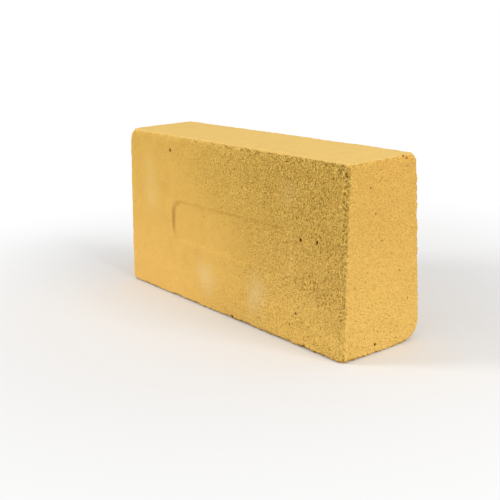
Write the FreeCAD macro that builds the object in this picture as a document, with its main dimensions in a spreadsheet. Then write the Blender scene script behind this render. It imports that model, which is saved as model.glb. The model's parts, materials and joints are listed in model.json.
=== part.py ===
"""Refractory firebrick of the arch kind, pressed and fired as one piece.

The brick stands on its thick long edge. Its two large bed faces lean in towards each other,
so the section across the length is a trapezoid, and a row of such bricks turns into an arch.
One bed face carries a shallow sunk panel.

Frame: millimetres, +X along the length, +Y through the thickness from the stamped face to the
plain one, +Z up. The origin is the middle of the base.
"""

import FreeCAD
import Part
import Sketcher
from FreeCAD import Rotation, Vector

import math
import os

# Driving dimensions: alias, value in millimetres or degrees, what it measures.
SIZES = [
    ("brick_length", 230, "end face to end face"),
    ("brick_height", 114, "base to crown"),
    ("base_thickness", 65, "bed face to bed face at the base"),
    ("crown_thickness", 55, "bed face to bed face at the crown"),
    ("edge_radius", 2, "rounding of the twelve outer edges"),
    ("stamp_length", 128, "panel's size along the brick"),
    ("stamp_height", 30.5, "panel's size up the bed face"),
    ("stamp_corner_radius", 11, "rounding of the panel's four corners"),
    ("stamp_depth", 1.2, "bed face to panel floor"),
    ("stamp_draft", 35, "lean of the panel's wall, so that the die lifts out"),
    ("stamp_shift", 4, "panel's centre from mid length, along +X"),
    ("stamp_drop", 2, "panel's centre below the middle of the bed face"),
    ("stamp_rim_radius", 0.6, "rounding of the panel's rim and of its floor"),
]

FIRST_ROW = 2
PLANE_TOLERANCE = 1e-4  # how far a face may lie from the plane it is looked for on, in millimetres


def write_sizes(doc):
    """Fills the spreadsheet with one row for each driving dimension."""
    sheet = doc.addObject("Spreadsheet::Sheet", "sizes")
    sheet.set("A1", "size")
    sheet.set("B1", "value")
    sheet.set("C1", "what it measures")
    for row, (alias, value, meaning) in enumerate(SIZES, start=FIRST_ROW):
        sheet.set(f"A{row}", alias)
        sheet.set(f"B{row}", str(value))
        sheet.setAlias(f"B{row}", alias)
        sheet.set(f"C{row}", meaning)
    doc.recompute()


def origin_plane(body, role):
    """The body's own origin plane of that role, such as YZ_Plane."""
    return next(plane for plane in body.Origin.OriginFeatures if plane.Role == role)


def drive(sketch, constraint, expression):
    """Adds a dimension to a sketch and ties it to the spreadsheet."""
    index = sketch.addConstraint(constraint)
    sketch.setExpression(f"Constraints[{index}]", expression)


def draw_section(body):
    """Sketches the trapezoid across the brick, base on the ground line, even about the centre."""
    sketch = body.newObject("Sketcher::SketchObject", "section")
    sketch.AttachmentSupport = (origin_plane(body, "YZ_Plane"), [""])
    sketch.MapMode = "FlatFace"
    # Rough corners, front base first and then round; the constraints set the real sizes.
    corners = [Vector(-3, 0, 0), Vector(3, 0, 0), Vector(2, 8, 0), Vector(-2, 8, 0)]
    lines = [
        sketch.addGeometry(Part.LineSegment(start, corners[(number + 1) % len(corners)]), False)
        for number, start in enumerate(corners)
    ]
    base, _, crown, _ = lines
    start, end, ground, upright = 1, 2, -1, -2
    for number, line in enumerate(lines):
        following = lines[(number + 1) % len(lines)]
        sketch.addConstraint(Sketcher.Constraint("Coincident", line, end, following, start))
    sketch.addConstraint(Sketcher.Constraint("PointOnObject", base, start, ground))
    sketch.addConstraint(Sketcher.Constraint("Symmetric", base, start, base, end, upright))
    sketch.addConstraint(Sketcher.Constraint("Symmetric", crown, end, crown, start, upright))
    drive(
        sketch,
        Sketcher.Constraint("DistanceX", base, start, base, end, 6),
        "sizes.base_thickness",
    )
    drive(
        sketch,
        Sketcher.Constraint("DistanceX", crown, end, crown, start, 4),
        "sizes.crown_thickness",
    )
    drive(
        sketch,
        Sketcher.Constraint("DistanceY", base, end, crown, start, 8),
        "sizes.brick_height",
    )
    return sketch


def press_blank(body, section):
    """Runs the section along the length and rounds all twelve edges."""
    blank = body.newObject("PartDesign::Pad", "pressed_blank")
    blank.Profile = (section, [""])
    blank.SideType = "Symmetric"
    blank.setExpression("Length", "sizes.brick_length")
    body.Document.recompute()
    rounded = body.newObject("PartDesign::Fillet", "rounded_edges")
    rounded.Base = (blank, [""])
    rounded.UseAllEdges = True
    rounded.setExpression("Radius", "sizes.edge_radius")
    body.Document.recompute()
    return rounded


def draw_stamp(body):
    """Sketches the panel's outline on the leaning bed face, x along the brick and y up the face."""
    sketch = body.newObject("Sketcher::SketchObject", "stamp_outline")
    sketch.AttachmentSupport = (origin_plane(body, "XZ_Plane"), [""])
    sketch.MapMode = "FlatFace"
    # The upright plane moves out to the foot of the bed face and leans back with it.
    sketch.AttachmentOffset = FreeCAD.Placement(Vector(), Rotation(Vector(-1, 0, 0), 1))
    overhang = "(sizes.base_thickness - sizes.crown_thickness) / 2"
    sketch.setExpression("AttachmentOffset.Base.z", "sizes.base_thickness / 2 * 1 mm")
    sketch.setExpression(
        "AttachmentOffset.Rotation.Angle", f"atan({overhang} / sizes.brick_height)"
    )

    # Straight sides joined by quarter arcs, counter-clockwise from the lower side.
    half_x, half_y, corner = 6, 3, 1
    right_angle = math.pi / 2
    side_ends = [
        ((corner - half_x, -half_y), (half_x - corner, -half_y)),
        ((half_x, corner - half_y), (half_x, half_y - corner)),
        ((half_x - corner, half_y), (corner - half_x, half_y)),
        ((-half_x, half_y - corner), (-half_x, corner - half_y)),
    ]
    arc_centres = [
        (half_x - corner, corner - half_y),
        (half_x - corner, half_y - corner),
        (corner - half_x, half_y - corner),
        (corner - half_x, corner - half_y),
    ]
    sides = []
    arcs = []
    for quarter, ((first, last), centre) in enumerate(zip(side_ends, arc_centres)):
        line = Part.LineSegment(Vector(*first, 0), Vector(*last, 0))
        sides.append(sketch.addGeometry(line, False))
        circle = Part.Circle(Vector(*centre, 0), Vector(0, 0, 1), corner)
        begin = (quarter - 1) * right_angle
        arc = Part.ArcOfCircle(circle, begin, begin + right_angle)
        arcs.append(sketch.addGeometry(arc, False))
    middle = sketch.addGeometry(Part.Point(Vector(0, 0, 0)), True)

    start, end, origin, root = 1, 2, -1, 1
    for quarter, (side, arc) in enumerate(zip(sides, arcs)):
        following = sides[(quarter + 1) % len(sides)]
        sketch.addConstraint(Sketcher.Constraint("Tangent", side, end, arc, start))
        sketch.addConstraint(Sketcher.Constraint("Tangent", arc, end, following, start))
    lower, near, upper, far = sides
    for side in (lower, upper):
        sketch.addConstraint(Sketcher.Constraint("Horizontal", side))
    for side in (near, far):
        sketch.addConstraint(Sketcher.Constraint("Vertical", side))
    for arc in arcs[1:]:
        sketch.addConstraint(Sketcher.Constraint("Equal", arcs[0], arc))
    sketch.addConstraint(Sketcher.Constraint("Symmetric", lower, start, upper, start, middle, start))
    drive(sketch, Sketcher.Constraint("Radius", arcs[0], corner), "sizes.stamp_corner_radius")
    drive(
        sketch,
        Sketcher.Constraint("DistanceX", far, start, near, start, 2 * half_x),
        "sizes.stamp_length",
    )
    drive(
        sketch,
        Sketcher.Constraint("DistanceY", lower, start, upper, start, 2 * half_y),
        "sizes.stamp_height",
    )
    drive(
        sketch,
        Sketcher.Constraint("DistanceX", origin, root, middle, start, 1),
        "sizes.stamp_shift",
    )
    half_slope = f"sqrt(sizes.brick_height ^ 2 + ({overhang}) ^ 2) / 2"
    drive(
        sketch,
        Sketcher.Constraint("DistanceY", origin, root, middle, start, 1),
        f"{half_slope} - sizes.stamp_drop",
    )
    body.Document.recompute()
    return sketch


def press_stamp(body, outline):
    """Sinks the panel square into the bed face, its walls leaning so that the floor is smaller."""
    panel = body.newObject("PartDesign::Pocket", "stamp_panel")
    panel.Profile = (outline, [""])
    panel.Type = "Length"
    panel.setExpression("Length", "sizes.stamp_depth")
    panel.setExpression("TaperAngle", "-sizes.stamp_draft")
    body.Document.recompute()
    return panel


def soften_stamp(body, outline, panel):
    """Rounds the panel's rim, where it meets the bed face, and the foot of its wall."""
    outward = outline.Placement.Rotation.multVec(Vector(0, 0, 1))
    level = outline.Placement.Base.dot(outward)
    soft_edges = []
    for face in panel.Shape.Faces:
        if not isinstance(face.Surface, Part.Plane):
            continue
        if face.normalAt(0, 0).dot(outward) < 1 - PLANE_TOLERANCE:
            continue
        if abs(face.CenterOfMass.dot(outward) - level) < PLANE_TOLERANCE:
            rims = [wire for wire in face.Wires if not wire.isSame(face.OuterWire)]
            soft_edges.extend(edge for wire in rims for edge in wire.Edges)
        else:
            soft_edges.extend(face.OuterWire.Edges)
    names = [
        f"Edge{number}"
        for number, edge in enumerate(panel.Shape.Edges, start=1)
        if any(edge.isSame(soft) for soft in soft_edges)
    ]
    softened = body.newObject("PartDesign::Fillet", "soft_stamp")
    softened.Base = (panel, names)
    softened.setExpression("Radius", "sizes.stamp_rim_radius")
    body.Document.recompute()
    return softened


def check(doc, blank, panel):
    """Stops the build if a feature failed, a shape is bad or the panel took nothing away."""
    for item in doc.Objects:
        if "Invalid" in item.State or "Error" in item.State:
            raise RuntimeError(f"{item.Name} did not recompute: {item.State}")
        shape = getattr(item, "Shape", None)
        if item.isDerivedFrom("PartDesign::Feature") and (shape.isNull() or not shape.isValid()):
            raise RuntimeError(f"{item.Name} has no valid shape")
    if panel.Shape.Volume >= blank.Shape.Volume:
        raise RuntimeError("the stamped panel cuts nothing")


def main():
    doc = FreeCAD.newDocument("firebrick")
    write_sizes(doc)
    brick = doc.addObject("PartDesign::Body", "firebrick")
    brick.Label = "firebrick"
    blank = press_blank(brick, draw_section(brick))
    outline = draw_stamp(brick)
    panel = press_stamp(brick, outline)
    soften_stamp(brick, outline, panel)
    check(doc, blank, panel)
    os.makedirs("parts", exist_ok=True)
    brick.Shape.exportStep(f"parts/{brick.Label}.step")


main()
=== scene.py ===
import json
import math

import bmesh
import bpy
from mathutils import Euler, Matrix, Vector, noise


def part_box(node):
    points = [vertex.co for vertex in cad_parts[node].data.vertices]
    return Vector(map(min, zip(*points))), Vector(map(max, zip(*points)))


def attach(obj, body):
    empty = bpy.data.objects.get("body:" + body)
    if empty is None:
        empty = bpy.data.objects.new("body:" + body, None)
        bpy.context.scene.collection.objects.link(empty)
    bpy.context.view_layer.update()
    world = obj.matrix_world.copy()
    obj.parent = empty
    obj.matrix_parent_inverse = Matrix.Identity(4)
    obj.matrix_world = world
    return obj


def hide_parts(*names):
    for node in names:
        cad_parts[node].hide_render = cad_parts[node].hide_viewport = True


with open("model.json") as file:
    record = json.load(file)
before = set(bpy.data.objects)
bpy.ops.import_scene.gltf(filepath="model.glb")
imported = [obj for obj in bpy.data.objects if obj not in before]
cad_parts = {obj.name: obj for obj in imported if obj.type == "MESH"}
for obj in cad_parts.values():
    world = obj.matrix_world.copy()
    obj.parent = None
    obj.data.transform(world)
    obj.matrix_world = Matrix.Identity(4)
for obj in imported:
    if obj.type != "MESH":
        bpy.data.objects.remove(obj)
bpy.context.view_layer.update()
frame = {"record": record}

# Firebrick: fireclay and crushed grog, pressed in a steel mould and fired to one hard ochre lump.
# It stands on its thick long edge, and both large bed faces lean in towards the crown. Handling
# has worn its corners round, crumbled its edges and opened small pits in its skin.

MM = 0.001  # the sculpting below works in millimetres, and this brings it to metres

brick_low, brick_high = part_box("firebrick")
brick_length = (brick_high.x - brick_low.x) / MM
brick_height = (brick_high.z - brick_low.z) / MM
plain_bed = next(m for m in frame["record"]["mounts"] if m["name"] == "plain_bed")
bed_lean = plain_bed["axis"][2] / plain_bed["axis"][1]  # how far a bed face comes in for each mm up
base_thickness = 2 * (plain_bed["pos_m"][1] + bed_lean * plain_bed["pos_m"][2]) / MM
half_size = Vector((brick_length / 2, base_thickness / 2, brick_height / 2))

# The pressed block: an upright block cut into fine rows, which crowd towards its edges and towards
# the walls of its stamped panel. Places on it are measured from its middle, and up from its base.
ROW_SPACING = 1.0
ROW_CROWDING = 0.35  # rows at an edge are this much closer together than the average
WALL_CROWDING = 0.6  # a row beside a panel wall moves this share of the way to it
WALL_REACH = 4.0
LEVEL = 1e-3  # an edge that rises less than this along an axis isn't cut by that axis's rows
STAMP_CENTRE = Vector((4.0, 55.0))  # the stamped panel, along from mid length and up the bed face
STAMP_HALF = Vector((64.0, 15.2))
stamp_walls = (
    [STAMP_CENTRE.x - STAMP_HALF.x, STAMP_CENTRE.x + STAMP_HALF.x],
    [],
    [STAMP_CENTRE.y - STAMP_HALF.y - half_size.z, STAMP_CENTRE.y + STAMP_HALF.y - half_size.z],
)

brick_mesh = bmesh.new()
bmesh.ops.create_cube(brick_mesh, size=2)
bmesh.ops.scale(brick_mesh, vec=half_size, verts=brick_mesh.verts)
for axis in range(3):
    rows = round(2 * half_size[axis] / ROW_SPACING)
    crossing = [
        edge for edge in brick_mesh.edges if abs((edge.verts[1].co - edge.verts[0].co)[axis]) > LEVEL
    ]
    bmesh.ops.subdivide_edges(brick_mesh, edges=crossing, cuts=rows - 1, use_grid_fill=True)


def ramp(value, start, end):
    """0 at start, 1 at end, and a smooth rise between them."""
    share = min(1, max(0, (value - start) / (end - start)))
    return share * share * (3 - 2 * share)


def hump(value, centre, reach):
    """1 at the centre, dying away smoothly over the reach on either side."""
    return math.exp(-(((value - centre) / reach) ** 2))


def between(first, last, share):
    """The value that lies a share of the way from the first to the last."""
    return first + (last - first) * share


def crowd(place, half, walls):
    """Moves a row towards the nearer edge or panel wall, where the finer mesh is needed."""
    share = place / half
    place = half * between(share, math.sin(share * math.pi / 2), ROW_CROWDING)
    for wall in walls:
        place += WALL_CROWDING * (wall - place) * hump(place, wall, WALL_REACH)
    return place


# Wear: edges crumble to a small uneven radius, and each corner is knocked to its own larger one.
# Corners go by the sides they join: +1 is the near end, the plain bed or the crown.
EDGE_RADIUS = 2.0
CROWN_EDGE_RADIUS = 3.2  # where the stamped bed meets the crown
PLAIN_EDGE_RADIUS = 3.6  # where the near end meets the plain bed
CORNER_RADIUS = {
    (-1, -1, 1): 5.2,
    (-1, 1, 1): 4.0,
    (1, -1, 1): 3.0,
    (1, 1, 1): 4.6,
    (-1, -1, -1): 3.2,
    (-1, 1, -1): 4.0,
    (1, -1, -1): 2.8,
    (1, 1, -1): 8.0,
}
CORNER_CORE = 0.5  # a corner's own radius holds this many radii out from it
CORNER_REACH = 1.6  # and its wear along an edge dies out this many radii from it
WEAR_SIZE = 6.0
WEAR_SWING = 0.5
CRUMB_SIZE = 1.7
FAR_CRUMB_SWING = 0.1
NEAR_CRUMB_SWING = 0.8


def wear_radius(place):
    """How far the brick is rounded off at a place on its sharp-edged block."""
    share = Vector(place[axis] / half_size[axis] for axis in range(3))
    crown_edge = ramp(-share.y, 0, 1) * ramp(share.z, 0, 1)
    plain_edge = ramp(share.y, 0, 1) * ramp(share.x, 0.5, 1)
    crumb_swing = between(FAR_CRUMB_SWING, NEAR_CRUMB_SWING, ramp(place.x, -100, 20))
    uneven = WEAR_SWING * noise.noise(place / WEAR_SIZE)
    uneven += crumb_swing * noise.noise(place / CRUMB_SIZE)
    radius = between(EDGE_RADIUS, CROWN_EDGE_RADIUS, crown_edge) * (1 + uneven)
    radius += (PLAIN_EDGE_RADIUS - EDGE_RADIUS) * plain_edge
    sides = tuple(1 if place[axis] > 0 else -1 for axis in range(3))
    corner = Vector(half_size[axis] * sides[axis] for axis in range(3))
    knocked = CORNER_RADIUS[sides]
    knock = 1 - ramp((place - corner).length, CORNER_CORE * knocked, CORNER_REACH * knocked)
    return between(radius, knocked, knock)


def round_off(place):
    """The place on the worn block, and the way out of the block there."""
    radius = wear_radius(place)
    inner = Vector(
        max(radius - half_size[axis], min(half_size[axis] - radius, place[axis])) for axis in range(3)
    )
    outward = (place - inner).normalized()
    return inner + radius * outward, outward


# Stamp: a shallow panel pressed into the bed face by the mould's die. The die bit deeper into the
# far end, and the panel's long walls are softer there.
STAMP_CORNER = 11.0
STAMP_DEPTH = 1.2
FAR_STAMP_DEPTH = 1.9
FAR_STAMP_REACH = 30.0
END_WALL = 1.2
FAR_SIDE_WALL = 3.0
NEAR_SIDE_WALL = 1.3


def stamp_gap(along, up):
    """How far a place on the bed lies outside the panel's outline, under 0 within it.

    The second value is above 0 by the panel's long sides and under 0 by its ends.
    """
    beyond_x = abs(along - STAMP_CENTRE.x) - (STAMP_HALF.x - STAMP_CORNER)
    beyond_y = abs(up - STAMP_CENTRE.y) - (STAMP_HALF.y - STAMP_CORNER)
    rounded = math.hypot(max(beyond_x, 0), max(beyond_y, 0)) + min(max(beyond_x, beyond_y), 0)
    return rounded - STAMP_CORNER, beyond_y - beyond_x


def stamp_sink(along, up):
    """How deep the stamped panel lies under the bed face at a place on it."""
    outside, sideways = stamp_gap(along, up)
    side_wall = between(FAR_SIDE_WALL, NEAR_SIDE_WALL, ramp(along, -50, 30))
    wall = between(END_WALL, side_wall, ramp(sideways, -STAMP_CORNER, STAMP_CORNER))
    from_far_end = along - STAMP_CENTRE.x + STAMP_HALF.x
    depth = between(FAR_STAMP_DEPTH, STAMP_DEPTH, ramp(from_far_end, 0, FAR_STAMP_REACH))
    return depth * ramp(-outside, 0, wall)


# Pits that stand out on the stamped bed: along from mid length, up from the base, radius, depth.
BED_PITS = [
    (-61.0, 103.3, 1.2, 1.4),
    (76.0, 65.3, 1.1, 1.6),
    (90.3, 66.5, 1.0, 1.6),
    (62.3, 56.2, 0.9, 1.0),
    (73.0, 19.8, 0.9, 1.4),
    (72.2, 27.5, 0.7, 1.0),
]
# Chips in the edges of the stamped bed, most at its broken corner, measured the same way.
EDGE_CHIPS = [
    (100.3, 112.4, 0.9, 0.6),
    (104.9, 112.0, 1.0, 0.7),
    (106.3, 110.4, 0.9, 0.7),
    (108.6, 112.4, 1.0, 0.7),
    (109.8, 110.6, 0.9, 0.7),
    (108.0, 108.9, 1.1, 0.9),
    (112.6, 107.0, 1.0, 0.8),
    (80.5, 1.2, 1.2, 1.0),
    (9.7, 1.2, 1.3, 1.2),
]
# Pits on the near end: across from the middle, up from the base, radius, depth.
END_PITS = [
    (-11.1, 98.7, 0.8, 0.9),
    (-7.0, 83.5, 0.8, 0.9),
    (-6.6, 5.5, 1.0, 1.6),
    (-4.7, 13.3, 0.6, 0.9),
]
PIT_FLOOR = 0.3  # a pit keeps its full depth this many radii out
PIT_RIM = 1.4  # and ends this many radii out


def pit_sink(across, up, pits):
    """How deep the marked pits reach at a place on a face."""
    sink = 0
    for pit_across, pit_up, radius, depth in pits:
        away = math.hypot(across - pit_across, up - pit_up)
        sink += depth * (1 - ramp(away, PIT_FLOOR * radius, PIT_RIM * radius))
    return sink


def bed_point(along, up, sink):
    """A point under the stamped bed face, in metres."""
    return Vector((along, -(half_size.y - bed_lean * up) + sink, up)) * MM


def end_point(across, up, sink):
    """A point under the near end face, in metres."""
    return Vector((half_size.x - sink, across, up)) * MM


# What the clay's colour follows, kept on the mesh for the material: where pores lie open, where
# edges crumble, are worn pale and carry a painted highlight, where a pale dusting lies, where the
# base edge is darker, and where the fire left the clay duller. Painted light lies there too: painted
# shade that dulls and browns the clay higher up, and painted bounce light that brightens and warms
# it low down.
pore_layer = brick_mesh.verts.layers.float.new("open_pores")
crumb_layer = brick_mesh.verts.layers.float.new("crumbling")
rub_highlight_layer = brick_mesh.verts.layers.float.new("rubbed_and_highlit")
dust_bounce_layer = brick_mesh.verts.layers.float.new("dust_and_bounce")
flash_shade_layer = brick_mesh.verts.layers.float.new("flash_and_painted_shade")
end_shade_layer = brick_mesh.verts.layers.float.new("end_shade")
bounce_light_layer = brick_mesh.verts.layers.float.new("painted_bounce_light")
base_dark_layer = brick_mesh.verts.layers.float.new("base_darkening")
PATCH_SIZE = 45.0
PORE_PATCHES = Vector((7, 3, 5))  # each kind of patch has its own stretch of the noise
FLASH_PATCHES = Vector((1, 9, 2))
EDGE_TURN = (0.4, 0.9)  # how far a rounded edge turns while one face's value gives way to the next
CROWN_TURN = (0.6, 1)


def patch(place, stretch):
    """Slow patches over the whole brick, from 0 to 1."""
    return 0.5 + 0.5 * noise.noise(place / PATCH_SIZE + stretch)


def by_face(outward, others, near_end, stamped_bed, crown):
    """A value that goes over smoothly from face to face along the rounded edges."""
    value = between(others, near_end, ramp(outward.x, *EDGE_TURN))
    value = between(value, stamped_bed, ramp(-outward.y, *EDGE_TURN))
    return between(value, crown, ramp(outward.z, *CROWN_TURN))


def open_pores(place, outward):
    """How open the skin is: smooth on the crown, coarse towards the near end of the stamped bed."""
    patches = patch(place, PORE_PATCHES)
    along = place.x
    up = place.z + half_size.z
    coarse = ramp(along, -85, 100) * (0.76 + 0.24 * ramp(up, 0, 45))
    mid_length = hump(along, 0, 50) * (0.42 * ramp(up, 55, 100) - 0.15 * ramp(up, 0, 40))
    smooth_high = 0.12 * hump(along, 12, 14) * ramp(up, 60, 90)
    smooth_low = 0.1 * hump(along, 62, 14) * ramp(up, 10, 25) * (1 - ramp(up, 45, 65))
    crown_rim = 0.1 * ramp(up, 84, 100) * (1 - ramp(along, -45, -15))
    base_rim = 0.1 * (1 - ramp(up, 8, 24))
    bed = coarse + mid_length - smooth_high - smooth_low + crown_rim + base_rim
    bed = max(0, bed + 0.24 * (patches - 0.5))
    end = 0.34 + 0.12 * patches + 0.16 * (1 - ramp(up, 15, 80))
    return by_face(outward, 0.2 + 0.6 * patches, end, bed, 0.05 + 0.1 * patches)


def flash_and_painted_shade(place, outward):
    """The duller tone: fire flashing in patches, and painted shade that grows with height."""
    height = ramp(place.z, -half_size.z, half_size.z)
    # Painted shade for the most part: duller the higher up the bed, and least low by its near end.
    rising = height * (0.97 - 0.12 * ramp(place.x, -60, 100))
    mid_length = 0.35 * hump(place.x, 20, 40)
    high_near = 0.12 * ramp(place.x, -20, 60) * ramp(place.z, -20, 20)
    low_near = -0.25 * hump(place.x, 68, 20) * (1 - ramp(place.z, -30, 10))
    bed = rising + mid_length + high_near + low_near
    # Painted shade on the near end too: duller the higher up.
    end = 0.72 * height * (1 - 0.3 * ramp(place.y, -half_size.y, 0))
    return by_face(outward, 0.3, end, bed, 0.0) + 0.1 * patch(place, FLASH_PATCHES)


def painted_end_shade(place, outward):
    """Painted shade on the near end only: browner the higher up."""
    height = ramp(place.z, -half_size.z, half_size.z)
    end = 0.35 * height * (0.3 + 0.7 * ramp(place.y, -half_size.y, 0))
    return by_face(outward, 0.0, end, 0.0, 0.0)


def painted_bounce_light(place, outward):
    """Painted bounce light: brighter and warmer low on the near end and beside it on the bed."""
    up = place.z + half_size.z
    end = 0.45 * (1 - ramp(up, 10, 82))
    bed = 0.9 * ramp(place.x, 15, 75) * (1 - ramp(up, 5, 45))
    return by_face(outward, 0.0, end, bed, 0.0)


def dust_and_painted_bounce(place, outward):
    """A pale dusting all over the crown, and painted bounce light: paler low at the near end."""
    # Painted bounce light: paler low down at the near end, and a little on the bed beside it.
    low = 0.35 * (1 - ramp(place.z, -half_size.z, -10))
    return by_face(outward, 0.0, low, 0.5 * low * ramp(place.x, -20, 60), 1.0)


def base_edge_darkening(place, outward):
    """Darker brown along the edge of the base, where it faces down, with less at the near end."""
    return ramp(-outward.z, 0.1, 0.7) * (1 - 0.6 * ramp(place.x, 100, 113))


# Crumbs break out along the edges, most round the stamped bed and towards its near end.
CRUMB_DEPTH = 0.9
CRUMB_REACH = 2.0
CROWN_CRUMB_INSET = 1.6
END_CRUMB_INSET = 3.0
BROKEN_CORNER = Vector((half_size.x - 11, -half_size.y, half_size.z - 4))
BROKEN_REACH = 7.0


def edge_gap(place):
    """The distance from a place on the block to the nearest edge."""
    return sorted(half_size[axis] - abs(place[axis]) for axis in range(3))[1]


def crumbling(place, outward):
    """How loose the clay is: 0 well inside a face, about 1 on the worst edges, most at a broken corner."""
    along_crown = hump(half_size.z - place.z, CROWN_CRUMB_INSET, CRUMB_REACH)
    along_crown *= 0.05 + 0.85 * ramp(place.x, -80, 80)
    up_end = hump(half_size.x - place.x, END_CRUMB_INSET, CRUMB_REACH)
    up_end *= 0.2 + 0.8 * ramp(place.z, -half_size.z, 10)
    broken = 0.8 * hump((place - BROKEN_CORNER).length, 0, BROKEN_REACH)
    plain = 0.3 * hump(edge_gap(place), 0, CRUMB_REACH)
    return by_face(outward, plain, 1.6 * plain, max(along_crown, up_end) + broken, 0.5 * plain)


def crumb_sink(place, looseness):
    """How deep the crumbs have broken out at a place."""
    shape = noise.noise(place / CRUMB_SIZE) + 0.5 * noise.noise(place / (2 * CRUMB_SIZE))
    return CRUMB_DEPTH * looseness * min(1, max(0, 0.35 + shape))


# Edges are worn pale by handling and carry a painted highlight on their rounding, most along the
# crown, and the near rim of the panel carries a painted highlight.
RUB_REACH = 3.0
RIM_OUTSET = 0.8  # the painted rim highlight lies this far outside the panel's outline
RIM_REACH = 1.0


def rubbing_and_highlight(place, outward):
    """How pale an edge is, worn and with a painted highlight, and the painted highlight on the panel's
    near rim.
    """
    edge = hump(edge_gap(place), 0, RUB_REACH)
    crown_edge = hump(half_size.z - place.z, 0, RUB_REACH) * (0.15 + 0.85 * ramp(place.x, -80, 40))
    outside, _ = stamp_gap(place.x, place.z + half_size.z)
    # Painted highlight along the panel's near rim.
    rim_highlight = 1.6 * hump(outside, RIM_OUTSET, RIM_REACH) * ramp(place.x, 60, 67)
    return by_face(outward, 0.4 * edge, 0.1 * edge, max(0.3 * edge, crown_edge, rim_highlight), 0.2 * edge)


# Skin: slow swells left by the press, and sandy grit, deepest where the pores lie open.
SWELL_SIZE = 38.0
SWELL_DEPTH = 0.25
GRIT_SIZE = 2.0
GRIT_DEPTH = 0.4


def skin_sink(place, openness):
    """How deep the skin's swells and grit lie, both under the pressed face."""
    swell = 0.5 + 0.5 * noise.noise(place / SWELL_SIZE)
    grit = 0.5 + 0.5 * noise.fractal(place / GRIT_SIZE, 0.8, 2.0, 2)
    return SWELL_DEPTH * swell + GRIT_DEPTH * (0.3 + 0.7 * openness) * min(1, max(0, grit))


ON_FACE = 0.9  # a way out that is this square to a face means a place clear of its edges
FACE_AND_EDGE = 0.5  # and this takes in most of its rounded edges

for vertex in brick_mesh.verts:
    sharp = Vector(crowd(vertex.co[axis], half_size[axis], stamp_walls[axis]) for axis in range(3))
    worn, outward = round_off(sharp)
    up = sharp.z + half_size.z
    openness = open_pores(sharp, outward)
    looseness = crumbling(sharp, outward)
    sink = skin_sink(sharp, openness) + crumb_sink(sharp, looseness)
    if -outward.y > ON_FACE:
        sink += stamp_sink(sharp.x, up) + pit_sink(sharp.x, up, BED_PITS)
    if -outward.y > FACE_AND_EDGE:
        sink += pit_sink(sharp.x, up, EDGE_CHIPS)
    if outward.x > ON_FACE:
        sink += pit_sink(sharp.y, up, END_PITS)
    vertex.co = worn - sink * outward
    vertex[pore_layer] = openness
    vertex[crumb_layer] = looseness
    vertex[rub_highlight_layer] = rubbing_and_highlight(sharp, outward)
    vertex[dust_bounce_layer] = dust_and_painted_bounce(sharp, outward)
    vertex[flash_shade_layer] = flash_and_painted_shade(sharp, outward)
    vertex[end_shade_layer] = painted_end_shade(sharp, outward)
    vertex[bounce_light_layer] = painted_bounce_light(sharp, outward)
    vertex[base_dark_layer] = base_edge_darkening(sharp, outward)

# The bed faces lean in as they rise, and the whole comes down to metres on its base.
for vertex in brick_mesh.verts:
    up = vertex.co.z + half_size.z
    vertex.co.y *= 1 - bed_lean * up / half_size.y
    vertex.co.z = up
bmesh.ops.scale(brick_mesh, vec=(MM, MM, MM), verts=brick_mesh.verts)
bmesh.ops.recalc_face_normals(brick_mesh, faces=brick_mesh.faces)
for face in brick_mesh.faces:
    face.smooth = True

brick_data = bpy.data.meshes.new("firebrick_body")
brick_mesh.to_mesh(brick_data)
brick_mesh.free()
brick = bpy.data.objects.new("firebrick_body", brick_data)
bpy.context.scene.collection.objects.link(brick)


def linear(hex_colour):
    """An sRGB hex colour as the linear RGBA that shaders take."""
    channels = [int(hex_colour[digit:digit + 2], 16) / 255 for digit in (1, 3, 5)]
    return [c / 12.92 if c <= 0.04045 else ((c + 0.055) / 1.055) ** 2.4 for c in channels] + [1]


def node(tree, kind, inputs=(), output=0, **settings):
    """Adds a node with its settings, gives its inputs their values or links, returns an output."""
    made = tree.nodes.new(kind)
    for name, value in settings.items():
        setattr(made, name, value)
    for name, value in dict(inputs).items():
        if isinstance(value, bpy.types.NodeSocket):
            tree.links.new(value, made.inputs[name])
        else:
            made.inputs[name].default_value = value
    return made.outputs[output] if made.outputs else None


# Fired fireclay: a dry, matt, sandy body in ochre yellow. The eye sees a slow drift of tone, fine
# light and dark grit where the skin lies open, pores and pits with painted shade inside, and pale
# smudges from other bricks. Painted shade, painted bounce light and painted highlights on the edges
# lie in the colour as well.
LIGHT_OCHRE = "#F3C56D"
DEEP_OCHRE = "#E9B65F"
DULLED_AND_SHADED = "#DBAF58"
END_SHADE_BROWN = "#D9A050"
DUST_AND_BOUNCE_PALE = "#F2CC7C"
BOUNCE_WARM = "#FFCE6E"
RUB_AND_HIGHLIGHT_PALE = "#F4CC7C"
DARK_GRAIN = "#A87700"
PALE_GRAIN = "#FFD46A"
BASE_EDGE_BROWN = "#8A5E14"
PORE_SHADE_BROWN = "#9A6800"
PALE_SMUDGE = "#F1D392"
BROWN_HAZE = "#C89A40"
PIT_SHADE_BROWN = "#583600"
RUST = "#B87030"
DRIFT_MM = 42.0
MOTTLE_MM = 8.0
SAND_MM = 2.6
CRUMB_MM = 2.0
PORE_MM = 1.2
GRAIN_MM = 1.0  # the real grit goes finer still, and is drawn as coarse as it shows in the picture
FACTOR, FLOAT_A, FLOAT_B, COLOUR_A, COLOUR_B = 0, 2, 3, 6, 7  # a Mix node's inputs
COLOUR_OUT = 2

fireclay = bpy.data.materials.new("fired_fireclay")
fireclay.use_nodes = True
clay = fireclay.node_tree
clay.nodes.clear()

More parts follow.
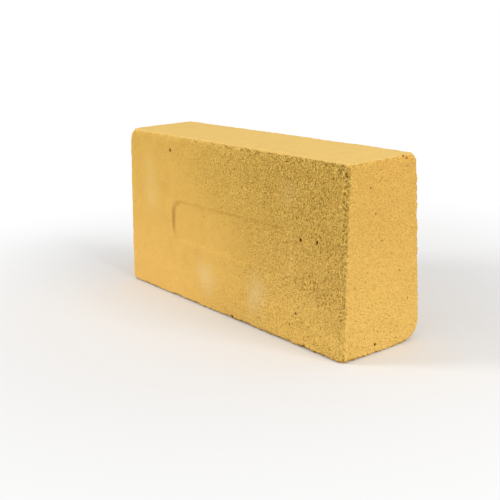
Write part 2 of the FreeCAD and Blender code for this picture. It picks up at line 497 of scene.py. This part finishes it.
where = node(clay, "ShaderNodeTexCoord", output="Object")
drift, mottle, sand, crumbs, grain, pore_noise = (
    node(
        clay,
        "ShaderNodeTexNoise",
        {"Vector": where, "Scale": 1 / (size * MM), "Detail": detail, "Distortion": distortion},
    )
    for size, detail, distortion in (
        (DRIFT_MM, 2.0, 0.0),
        (MOTTLE_MM, 3.0, 0.0),
        (SAND_MM, 2.0, 0.0),
        (CRUMB_MM, 1.0, 0.0),
        (GRAIN_MM, 1.0, 0.7),
        (PORE_MM, 1.0, 0.7),
    )
)
open_skin, loose, rubbed_and_highlit, dust_and_bounce, flash_and_shade, end_shade, bounce_light, base_darkening = (
    node(clay, "ShaderNodeAttribute", output="Fac", attribute_name=name)
    for name in (
        "open_pores",
        "crumbling",
        "rubbed_and_highlit",
        "dust_and_bounce",
        "flash_and_painted_shade",
        "end_shade",
        "painted_bounce_light",
        "base_darkening",
    )
)

# Coats of colour over the drifting ochre, each with its share: first the duller tone with its painted
# shade, painted shade up the near end, a pale dusting with painted bounce light, and painted bounce light.
coats = [(flash_and_shade, DULLED_AND_SHADED), (end_shade, END_SHADE_BROWN), (dust_and_bounce, DUST_AND_BOUNCE_PALE), (bounce_light, BOUNCE_WARM)]

# Edges worn pale by handling, with a painted highlight, on the crumbs that stand up.
raised = node(
    clay,
    "ShaderNodeMapRange",
    {"Value": crumbs, "From Min": 0.4, "From Max": 0.55, "To Max": 0.75},
)
rub_highlight_share = node(clay, "ShaderNodeMath", {0: rubbed_and_highlit, 1: raised}, operation="MULTIPLY")
coats.append((rub_highlight_share, RUB_AND_HIGHLIGHT_PALE))

# Sand and grain swing the tone from brown to pale, most where the skin lies open, and so do the
# larger crumbs along loose edges. Each row has a pattern, its middle value, what guides it, how
# far it swings the tone where the guide is 0 and where it is 1, and how far it stands up.
patchiness = node(
    clay,
    "ShaderNodeMapRange",
    {"Value": mottle, "From Min": 0.35, "From Max": 0.65, "To Min": 0.8, "To Max": 1.2},
)
coarse_skin = node(clay, "ShaderNodeMath", {0: open_skin, 1: patchiness}, operation="MULTIPLY")
MID_TONE = 0.5
tone = MID_TONE
height = 0.0
for pattern, middle, guide, least, most, rise in (
    (mottle, 0.5, open_skin, 0.2, 0.25, 0.0),
    (sand, 0.5, open_skin, 0.05, 0.1, 0.2),
    (grain, 0.45, coarse_skin, 0.2, 1.7, 1.25),
    (crumbs, 0.45, loose, 0.0, 2.0, 1.2),
):
    swing = node(
        clay,
        "ShaderNodeMapRange",
        {"Value": guide, "To Min": least, "To Max": most},
        clamp=False,
    )
    centred = node(clay, "ShaderNodeMath", {0: pattern, 1: middle}, operation="SUBTRACT")
    tone = node(clay, "ShaderNodeMath", {0: centred, 1: swing, 2: tone}, operation="MULTIPLY_ADD")
    lift = node(clay, "ShaderNodeMath", {0: guide, 1: rise}, operation="MULTIPLY")
    height = node(
        clay,
        "ShaderNodeMath",
        {0: centred, 1: lift, 2: height},
        operation="MULTIPLY_ADD",
    )
for extreme, shade in ((0.0, DARK_GRAIN), (1.0, PALE_GRAIN)):
    share = node(
        clay,
        "ShaderNodeMapRange",
        {"Value": tone, "From Min": MID_TONE, "From Max": extreme},
    )
    coats.append((share, shade))

# The edge of the base is darker brown, in broken lines.
base_dark_cover = node(
    clay,
    "ShaderNodeMapRange",
    {"Value": sand, "From Min": 0.35, "From Max": 0.6, "To Min": 0.1, "To Max": 0.8},
)
base_darkened = node(clay, "ShaderNodeMath", {0: base_darkening, 1: base_dark_cover}, operation="MULTIPLY")
coats.append((base_darkened, BASE_EDGE_BROWN))

# Pores: ragged holes with painted shade inside, more and larger where the skin lies open.
pore_reach = node(
    clay,
    "ShaderNodeMapRange",
    {"Value": coarse_skin, "To Min": 0.26, "To Max": 0.36},
    clamp=False,
)
pore_depth = node(clay, "ShaderNodeMath", {0: pore_reach, 1: pore_noise}, operation="SUBTRACT")
pores = node(
    clay,
    "ShaderNodeMapRange",
    {"Value": pore_depth, "From Max": 0.1},
    interpolation_type="SMOOTHSTEP",
)
coats.append((pores, PORE_SHADE_BROWN))

# Pale smudges on the stamped bed, and a faint brown haze over its panel: along from mid length, up
# from the base, radius, strength, colour.
SMUDGES = [
    (-19.5, 21.5, 19, 0.6, PALE_SMUDGE),
    (35.5, 27.0, 17, 0.42, PALE_SMUDGE),
    (34.0, 17.0, 16, 0.4, PALE_SMUDGE),
    (-88.0, 91.0, 15, 0.22, PALE_SMUDGE),
    (-87.0, 80.0, 15, 0.2, PALE_SMUDGE),
    (-86.0, 68.0, 16, 0.28, PALE_SMUDGE),
    (66.2, 91.8, 14, 0.16, PALE_SMUDGE),
    (-30.0, 50.0, 70, 0.12, BROWN_HAZE),
]
SMUDGE_FULL = 0.4  # in radii from the middle, to which the mottle adds about half a radius
SMUDGE_GONE = 1.4
for along, up, radius, most, shade in SMUDGES:
    reach = radius * MM
    middle = bed_point(along, up, 0)
    away = node(clay, "ShaderNodeVectorMath", {0: where, 1: middle}, "Value", operation="DISTANCE")
    ragged = node(clay, "ShaderNodeMath", {0: mottle, 1: reach, 2: away}, operation="MULTIPLY_ADD")
    cover = node(
        clay,
        "ShaderNodeMapRange",
        {
            "Value": ragged,
            "From Min": SMUDGE_GONE * reach,
            "From Max": SMUDGE_FULL * reach,
            "To Max": most,
        },
        interpolation_type="SMOOTHSTEP",
    )
    coats.append((cover, shade))

# The marked pits and chips are given painted shade inside, the deeper the darker, and two rusty
# specks sit at the near end's top corner: across from the middle, up from the base, radius.
IRON_SPECKS = [(15.4, 113.4, 1.0), (17.6, 111.9, 1.0)]
SPECK_SINK = 1.0
CHIP_SINK = 1.2  # the rounded edge lies about this far under the flat of the bed
MARK_FULL = 0.6  # in radii from the middle
MARK_GONE = 1.3
deepest = max(depth for _, _, _, depth in BED_PITS + EDGE_CHIPS + END_PITS)
marks = []
for along, up, radius, depth in BED_PITS:
    marks.append((bed_point(along, up, depth / 2), radius, PIT_SHADE_BROWN, depth / deepest))
for along, up, radius, depth in EDGE_CHIPS:
    marks.append((bed_point(along, up, CHIP_SINK), radius, PIT_SHADE_BROWN, depth / deepest))
for across, up, radius, depth in END_PITS:
    marks.append((end_point(across, up, depth / 2), radius, PIT_SHADE_BROWN, depth / deepest))
for across, up, radius in IRON_SPECKS:
    marks.append((end_point(across, up, SPECK_SINK), radius, RUST, 1))
for middle, radius, shade, most in marks:
    reach = radius * MM
    away = node(clay, "ShaderNodeVectorMath", {0: where, 1: middle}, "Value", operation="DISTANCE")
    inside = node(
        clay,
        "ShaderNodeMapRange",
        {
            "Value": away,
            "From Min": MARK_GONE * reach,
            "From Max": MARK_FULL * reach,
            "To Max": most,
        },
        interpolation_type="SMOOTHSTEP",
    )
    coats.append((inside, shade))

colour = node(
    clay,
    "ShaderNodeMix",
    {FACTOR: drift, COLOUR_A: linear(LIGHT_OCHRE), COLOUR_B: linear(DEEP_OCHRE)},
    COLOUR_OUT,
    data_type="RGBA",
)
for share, shade in coats:
    colour = node(
        clay,
        "ShaderNodeMix",
        {FACTOR: share, COLOUR_A: colour, COLOUR_B: linear(shade)},
        COLOUR_OUT,
        data_type="RGBA",
    )

# Relief too fine for the mesh: grains stand up and pores go down, in shares of RELIEF_MM.
RELIEF_MM = 1.6
PORE_RISE = -0.2
height = node(
    clay,
    "ShaderNodeMath",
    {0: pores, 1: PORE_RISE, 2: height},
    operation="MULTIPLY_ADD",
)
relief = node(clay, "ShaderNodeBump", {"Height": height, "Distance": RELIEF_MM * MM, "Strength": 1.0})
shader = node(
    clay,
    "ShaderNodeBsdfPrincipled",
    {"Base Color": colour, "Roughness": 0.93, "Specular IOR Level": 0.0, "Normal": relief},
)
node(clay, "ShaderNodeOutputMaterial", {"Surface": shader})
brick_data.materials.append(fireclay)

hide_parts("firebrick")
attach(brick, "root")

# Floor: a table top of matt white laminate that the brick stands on. It takes the brick's shadow,
# and to the eye it runs on into the white of the room.
FLOOR_SIDE = 6.0
CLEAR_REACH = 0.13  # up to here the eye sees the laminate itself
WHITE_REACH = 0.38  # and from here on a table top as white as the room
LAMINATE_TO_CLAY = "#D0D0D0"
LAMINATE_TO_EYE = "#F4F4F4"
WHITE = "#FFFFFF"

floor_mesh = bmesh.new()
bmesh.ops.create_grid(floor_mesh, x_segments=1, y_segments=1, size=FLOOR_SIDE / 2)
floor_data = bpy.data.meshes.new("table_top")
floor_mesh.to_mesh(floor_data)
floor_mesh.free()
floor = bpy.data.objects.new("table_top", floor_data)
bpy.context.scene.collection.objects.link(floor)


def seen_directly(tree):
    """1 for the rays that show a surface to the eye, straight or in gloss, and 0 for its light."""
    seen = node(tree, "ShaderNodeLightPath", output="Is Camera Ray")
    for kind in ("Is Glossy Ray", "Is Transmission Ray"):
        other = node(tree, "ShaderNodeLightPath", output=kind)
        seen = node(tree, "ShaderNodeMath", {0: seen, 1: other}, operation="MAXIMUM")
    return seen


# White laminate: matt and pale. The eye sees it a little brighter than the light it throws back
# on the clay, with the shadow near the brick and plain white further out.
laminate = bpy.data.materials.new("white_laminate")
laminate.use_nodes = True
table = laminate.node_tree
table.nodes.clear()
spot = node(table, "ShaderNodeTexCoord", output="Object")
reach = node(table, "ShaderNodeVectorMath", {0: spot}, "Value", operation="LENGTH")
seen = seen_directly(table)
tint = node(
    table,
    "ShaderNodeMix",
    {FACTOR: seen, COLOUR_A: linear(LAMINATE_TO_CLAY), COLOUR_B: linear(LAMINATE_TO_EYE)},
    COLOUR_OUT,
    data_type="RGBA",
)
far_out = node(
    table,
    "ShaderNodeMapRange",
    {"Value": reach, "From Min": CLEAR_REACH, "From Max": WHITE_REACH},
    interpolation_type="SMOOTHSTEP",
)
whitened = node(table, "ShaderNodeMath", {0: far_out, 1: seen}, operation="MULTIPLY")
sheet = node(
    table,
    "ShaderNodeBsdfPrincipled",
    {"Base Color": tint, "Roughness": 1.0, "Specular IOR Level": 0.0},
)
white = node(table, "ShaderNodeEmission", {"Color": linear(WHITE), "Strength": 1.0})
faded = node(table, "ShaderNodeMixShader", {0: whitened, 1: sheet, 2: white})
node(table, "ShaderNodeOutputMaterial", {"Surface": faded})
floor_data.materials.append(laminate)

# Light: a soft white room, a large softbox high off the near end, and a second one off the far
# corner of the stamped bed. Places are in metres and powers in watts.
ROOM_LIGHT = 0.62
AIM = Vector((0, 0, 0.06))
KEY_PLACE = Vector((1.8, 0.25, 1.0))
KEY_SIDE = 1.0
KEY_POWER = 20.1
FILL_PLACE = Vector((-1.8, -2.0, 0.9))
FILL_SIDE = 0.8
FILL_POWER = 38.4

world = bpy.data.worlds.new("white_room")
bpy.context.scene.world = world
world.use_nodes = True
room = world.node_tree
room.nodes.clear()
strength = node(
    room,
    "ShaderNodeMix",
    {FACTOR: seen_directly(room), FLOAT_A: ROOM_LIGHT, FLOAT_B: 1.0},
    data_type="FLOAT",
)
sky = node(room, "ShaderNodeBackground", {"Color": linear(WHITE), "Strength": strength})
node(room, "ShaderNodeOutputWorld", {"Surface": sky})

for name, place, side, power in (
    ("key_softbox", KEY_PLACE, KEY_SIDE, KEY_POWER),
    ("fill_softbox", FILL_PLACE, FILL_SIDE, FILL_POWER),
):
    lamp = bpy.data.lights.new(name, "AREA")
    lamp.size = side
    lamp.energy = power
    softbox = bpy.data.objects.new(name, lamp)
    softbox.location = place
    softbox.rotation_euler = (AIM - place).to_track_quat("-Z", "Y").to_euler()
    bpy.context.scene.collection.objects.link(softbox)

# Camera: the photograph's viewpoint, fitted to the brick's edges.
FRAME_PIXELS = 500
SENSOR_WIDTH = 36.0
FOCAL_PIXELS = 872.5
VIEW_AZIMUTH = math.radians(52.4)
VIEW_ELEVATION = math.radians(15.4)
VIEW_ROLL = math.radians(-1.78)
BRICK_IN_VIEW = Vector((5.57, 17.74, -583.9)) * MM  # the brick's middle, from the camera

camera_data = bpy.data.cameras.new("photo_camera")
camera_data.sensor_width = SENSOR_WIDTH
camera_data.lens = FOCAL_PIXELS / FRAME_PIXELS * SENSOR_WIDTH
camera = bpy.data.objects.new("photo_camera", camera_data)
bpy.context.scene.collection.objects.link(camera)
upright_turn = Euler((math.pi / 2 - VIEW_ELEVATION, 0, VIEW_AZIMUTH)).to_matrix()
turn = upright_turn @ Matrix.Rotation(VIEW_ROLL, 3, "Z")
brick_middle = Vector((0, 0, half_size.z * MM))
camera.matrix_world = Matrix.Translation(brick_middle - turn @ BRICK_IN_VIEW) @ turn.to_4x4()
bpy.context.scene.camera = camera

bpy.context.scene.view_settings.view_transform = "Standard"
